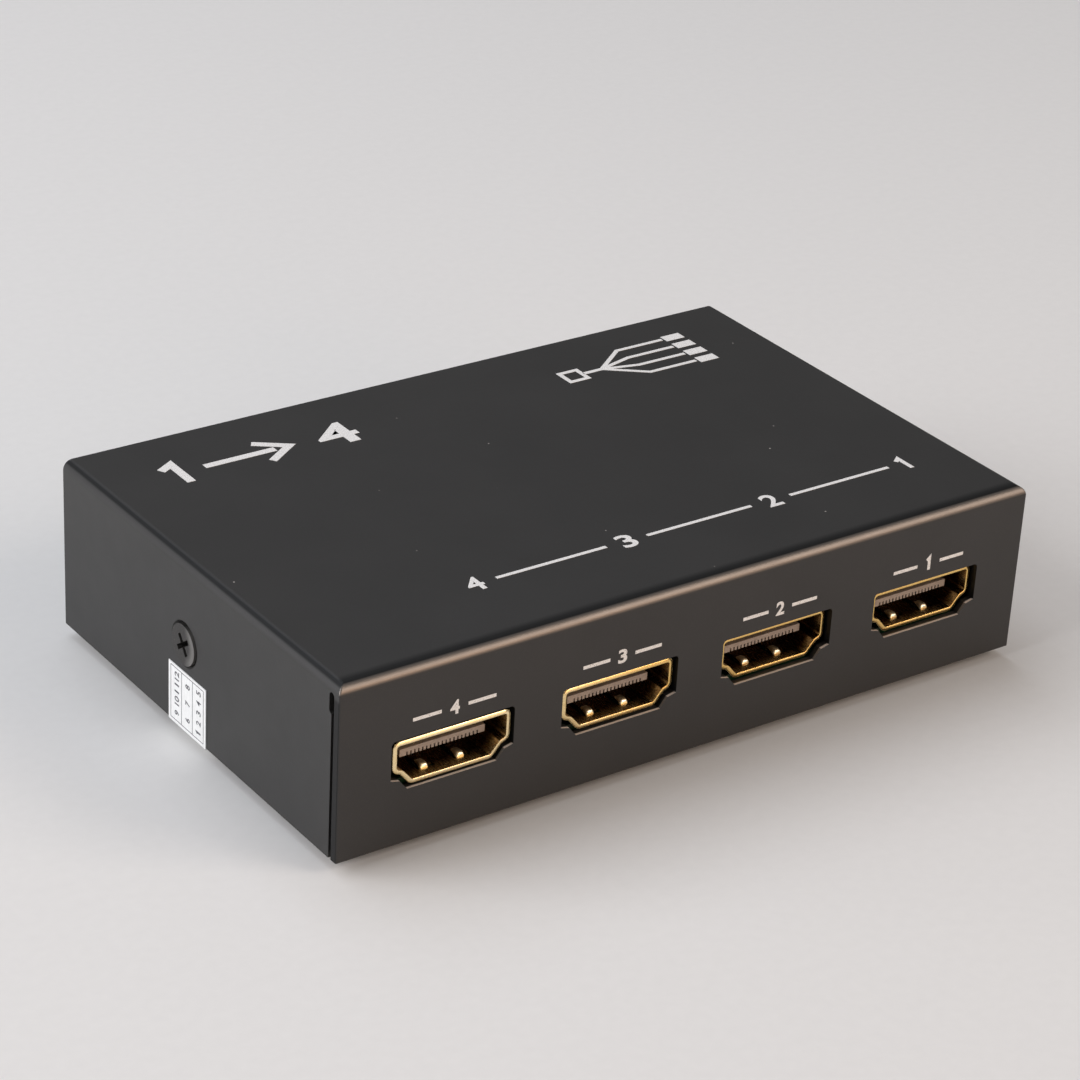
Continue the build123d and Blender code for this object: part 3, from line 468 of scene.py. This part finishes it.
def written(text, left, low, wide, tall, bold=0.02):
    """A number in the plain built-in face, as a closed slab that fills a box."""
    if text == "1":
        # A 1 is drawn as a flag and a stem, with a heavier line when it is small.
        stem, weight = left + 0.62 * wide, 0.24 if tall < 2 else 0.2
        return ribbon([(left, low + 0.74 * tall), (stem, low + 0.93 * tall), (stem, low)],
                      weight * tall)
    face = bpy.data.curves.new("text", "FONT")
    face.body, face.offset, face.extrude, face.resolution_u = text, bold, 1, 6
    made = bpy.data.objects.new("text", face)
    bpy.context.collection.objects.link(made)
    shown = made.evaluated_get(bpy.context.evaluated_depsgraph_get())
    mesh = bpy.data.meshes.new_from_object(shown)
    points = np.empty(len(mesh.vertices) * 3)
    mesh.vertices.foreach_get("co", points)
    points = points.reshape(-1, 3)
    faces = [list(polygon.vertices) for polygon in mesh.polygons]
    bpy.data.objects.remove(made)
    bpy.data.meshes.remove(mesh)
    start, size = points.min(0), np.ptp(points, 0)
    points = (points - start) / size * (wide, tall, 1.5 * INK) + (left, low, -0.5 * INK)
    return points, faces


def ribbon(line, width, lift=0.0):
    """A polyline as a closed slab of one width with mitred corners, a loop if its ends meet."""
    line = np.array(line, float)
    closed = np.allclose(line[0], line[-1])
    if closed:
        line = line[:-1]
    run = np.roll(line, -1, 0) - line
    run /= np.linalg.norm(run, axis=1)[:, None]
    before = np.roll(run, 1, 0)
    if not closed:
        run[-1], before[0] = before[-1], run[0]
    side = np.stack([-(run + before)[:, 1], (run + before)[:, 0]], 1)
    side /= np.sum(side * np.stack([-run[:, 1], run[:, 0]], 1), 1)[:, None]
    edges = np.stack([line - side * width / 2, line + side * width / 2], 1)
    count = len(line)
    points = np.zeros((count, 4, 3))
    points[:, :2, :2], points[:, 2:, :2] = edges, edges
    points[:, :2, 2], points[:, 2:, 2] = -0.5 * INK, INK + lift
    faces = []
    for i in range(count if closed else count - 1):
        a, b = 4 * i, 4 * ((i + 1) % count)
        faces += [(a, a + 1, b + 1, b), (a + 2, b + 2, b + 3, a + 3),
                  (a, b, b + 2, a + 2), (a + 1, a + 3, b + 3, b + 1)]
    if not closed:
        end = 4 * (count - 1)
        faces += [(0, 2, 3, 1), (end, end + 1, end + 3, end + 2)]
    return points.reshape(-1, 3), faces


def film(name, parts, across, up, origin):
    """Puts slabs of ink on the plane that across and up span from origin, as one piece."""
    base = np.array([across, up, np.cross(across, up)], float)
    points = np.concatenate([part[0] for part in parts]) * MM @ base + origin
    faces, start = [], 0
    for part in parts:
        faces += [[start + i for i in face] for face in part[1]]
        start += len(part[0])
    piece(name, points.tolist(), faces, smooth=False)


# Screen ink, cured: light grey and matt, with pinholes where the mesh left the coat bare.
ink, tree, shader, place = blank("Screen_ink_cured", Roughness=0.5)
mesh_marks = noise(tree, place, 0.12 * MM, 3.0)
pinholes = spread(tree, mesh_marks, 0.3, 0.45, 1, 0)
paint(tree, shader, mixed(tree, pinholes, linear("#f0efed"), linear("#a3a09d")),
      spread(tree, mesh_marks, 0.3, 0.7, 0.42, 0.6), bumped(tree, mesh_marks, 0.004 * MM, 0.6))

# Top: one to four at the back left, the diagram at the back right, the numbered line in front.
parts = [
    written("1", -39, 18.4, 2.9, 5.4), written("4", -18.9, 18.4, 5.4, 5.4),
    ribbon([(-34, 21.1), (-24.5, 21.1)], 1.0),
    ribbon([(-26.3, 23.6), (-22.6, 21.1), (-26.3, 18.6)], 1.0, LAYER),
    ribbon([(17, 19.6), (17, 22.2), (19.6, 22.2), (19.6, 19.6), (17, 19.6)], 0.6),
    ribbon([(19.8, 20.9), (23.1, 20.9)], 0.6),
]
for level, high in enumerate((17.3, 19.7, 22.1, 24.5), 1):
    parts.append(ribbon([(22.6, 20.9), (27.5, high), (34.6, high)], 0.55, level * LAYER))
    parts.append(ribbon([(34.9, high), (37.7, high)], 1.5))
for step, sign in enumerate("4321"):
    left = -23.8 + 20.6 * step
    parts.append(written(sign, left, -19.7, 1.2 if sign == "1" else 2.1, 2.9))
    if step < 3:
        parts.append(ribbon([(left + 3.9, -18.25), (left + 18.8, -18.25)], 0.5))
film("top_print", parts, (1, 0, 0), (0, 1, 0), (0, 0, TOP_Z))

# Front wall: each socket's number, with a bar each side.
parts = []
for sign, x in zip("4321", (-33, -11, 11, 33)):
    wide = 0.62 if sign == "1" else 1.2
    parts.append(written(sign, x - wide / 2, 15.6, wide, 1.75, 0.03))
    parts += [ribbon([(x + side * 1.7, 16.45), (x + side * 5.3, 16.45)], 0.42)
              for side in (-1, 1)]
film("front_print", parts, (1, 0, 0), (0, 0, 1), (0, FRONT_Y, 0))
dress(["top_print", "front_print"], ink)

# ---------------------------------------------------------------------------------------------
# Seal: a paper strip stuck down the left wall and folded under, so it tears when the case is
# opened. It is printed with a grid of numbers.
# ---------------------------------------------------------------------------------------------
# Label paper, coated: white and even, with a faint fibre and a soft tooth.
paper, tree, shader, place = blank("Label_paper_coated_white", Roughness=0.6)
fibre = noise(tree, place, 0.25 * MM, 4.0, 0.6, (1, 1, 0.4))
tone = mixed(tree, spread(tree, fibre, 0.35, 0.7), linear("#f2f2f1"), linear("#e6e6e4"))
paint(tree, shader, tone, spread(tree, fibre, 0.3, 0.7, 0.52, 0.7),
      bumped(tree, fibre, 0.006 * MM, 0.5))
dress(["seal_label"], paper)

# The numbers read with their tops to the rear, so they lie on their sides on the wall: a column
# runs up the wall, and the next one stands behind it. All in millimetres from the paper's front
# edge and the wall's lower edge.
PAPER_FRONT_Y, PAPER_T = -3 * MM, 0.1 * MM
GRID_LOW, GRID_HIGH, GRID_FRONT, COLUMN, LINE = 0.35, 7.1, 0.5, 2.43, 0.07
NUMBERS_LOW, NUMBERS_RUN, DIGIT_W, DIGIT_H, MARGIN = 0.55, 6.4, 0.55, 0.95, 0.6
parts = []
for column, numbers in enumerate(("1 2 3 4 5", "6 7 8", "9 10 11 12")):
    numbers = numbers.split()
    step = NUMBERS_RUN / len(numbers)
    low = GRID_FRONT + MARGIN + COLUMN * column
    for row, text in enumerate(numbers):
        wide = DIGIT_W * len(text) * (0.5 if text == "1" else 1)
        along = NUMBERS_LOW + step * (row + 0.5) - wide / 2
        parts.append(written(text, along, low, wide, DIGIT_H, 0.01))
for column in range(4):
    back = GRID_FRONT + COLUMN * column
    parts.append(ribbon([(GRID_LOW, back), (GRID_HIGH, back)], LINE))
for end in (GRID_LOW, GRID_HIGH):
    parts.append(ribbon([(end, GRID_FRONT), (end, GRID_FRONT + 3 * COLUMN)], LINE, 0.002))
film("seal_print", parts, (0, 0, 1), (0, 1, 0), (-SIDE_X - PAPER_T, PAPER_FRONT_Y, FOOT_H))

# Black press ink on paper: thin, a little uneven.
press, tree, shader, place = blank("Press_ink_on_paper", Roughness=0.55)
cover = noise(tree, place, 0.2 * MM, 3.0)
paint(tree, shader, mixed(tree, cover, linear("#2f2f33"), linear("#6a6a70")),
      normal=bumped(tree, cover, 0.002 * MM, 0.4))
dress(["seal_print"], press)

for printed in ("top_print", "front_print", "seal_print"):
    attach(bpy.data.objects[printed], "case")

# ---------------------------------------------------------------------------------------------
# Studio: a pale floor, four soft lamps, and the camera at the photograph's angle and focal
# length. None of it belongs to the object.
# ---------------------------------------------------------------------------------------------
# Seamless card: pale, matt, with a barely visible tooth.
card, tree, shader, place = blank("Seamless_card_pale", Roughness=0.75, Specular_IOR_Level=0.2)
tooth = noise(tree, place, 1.5 * MM, 3.0)
paint(tree, shader, mixed(tree, tooth, linear("#e6e5e3"), linear("#ebeae8")))
floor = piece("floor", [(-3, -3, 0), (3, -3, 0), (3, 3, 0), (-3, 3, 0)], [(0, 1, 2, 3)], False)
floor.data.materials.append(card)

# Lamps: name, direction from the object, distance, width, power, colour.
middle = Vector((0, 0, 0.012))
for name, direction, away, wide, power, colour in (
    ("key_left", (-0.85, 0.25, 0.42), 0.9, 0.8, 7.4, "#fbfbff"),
    ("front_low", (0.25, -1.0, 0.12), 0.9, 0.5, 2.2, "#ffcfa6"),
    ("line_light", (0.526, -0.649, 0.55), 0.9, 0.38, 2.4, "#fff0e4"),
    ("soft_top", (-0.1, 0.5, 1.0), 1.1, 0.9, 4.0, "#eef4ff"),
):
    lamp = bpy.data.lights.new(name, "AREA")
    lamp.shape, lamp.size, lamp.energy, lamp.color = "SQUARE", wide, power, linear(colour)[:3]
    lit = bpy.data.objects.new(name, lamp)
    bpy.context.collection.objects.link(lit)
    lit.location = middle + Vector(direction).normalized() * away
    lit.rotation_euler = (middle - lit.location).to_track_quat("-Z", "Y").to_euler()

# The surroundings are dim, and bright only where the camera sees them straight or through resin.
world = bpy.data.worlds.new("studio")
bpy.context.scene.world = world
world.use_nodes = True
tree = world.node_tree
background = tree.nodes["Background"]
rays = node(tree, "LightPath").outputs
seen = node(tree, "Math", {"operation": "MAXIMUM"},
            {0: rays["Is Camera Ray"], 1: rays["Is Transmission Ray"]}).outputs[0]
tree.links.new(spread(tree, seen, 0, 1, 0.2, 0.95), background.inputs["Strength"])
background.inputs["Color"].default_value = linear("#f4f4f4")

camera = bpy.data.objects.new("camera", bpy.data.cameras.new("camera"))
bpy.context.collection.objects.link(camera)
camera.data.sensor_width = 36
camera.data.lens = 112.191
camera.matrix_world = Matrix((
    (0.81972045, 0.22704909, -0.52583942, -0.208890),
    (-0.57062866, 0.40293169, -0.71556201, -0.283132),
    (0.04940966, 0.88661986, 0.45985206, 0.196349),
    (0, 0, 0, 1),
))
bpy.context.scene.camera = camera
bpy.context.scene.view_settings.view_transform = "Standard"
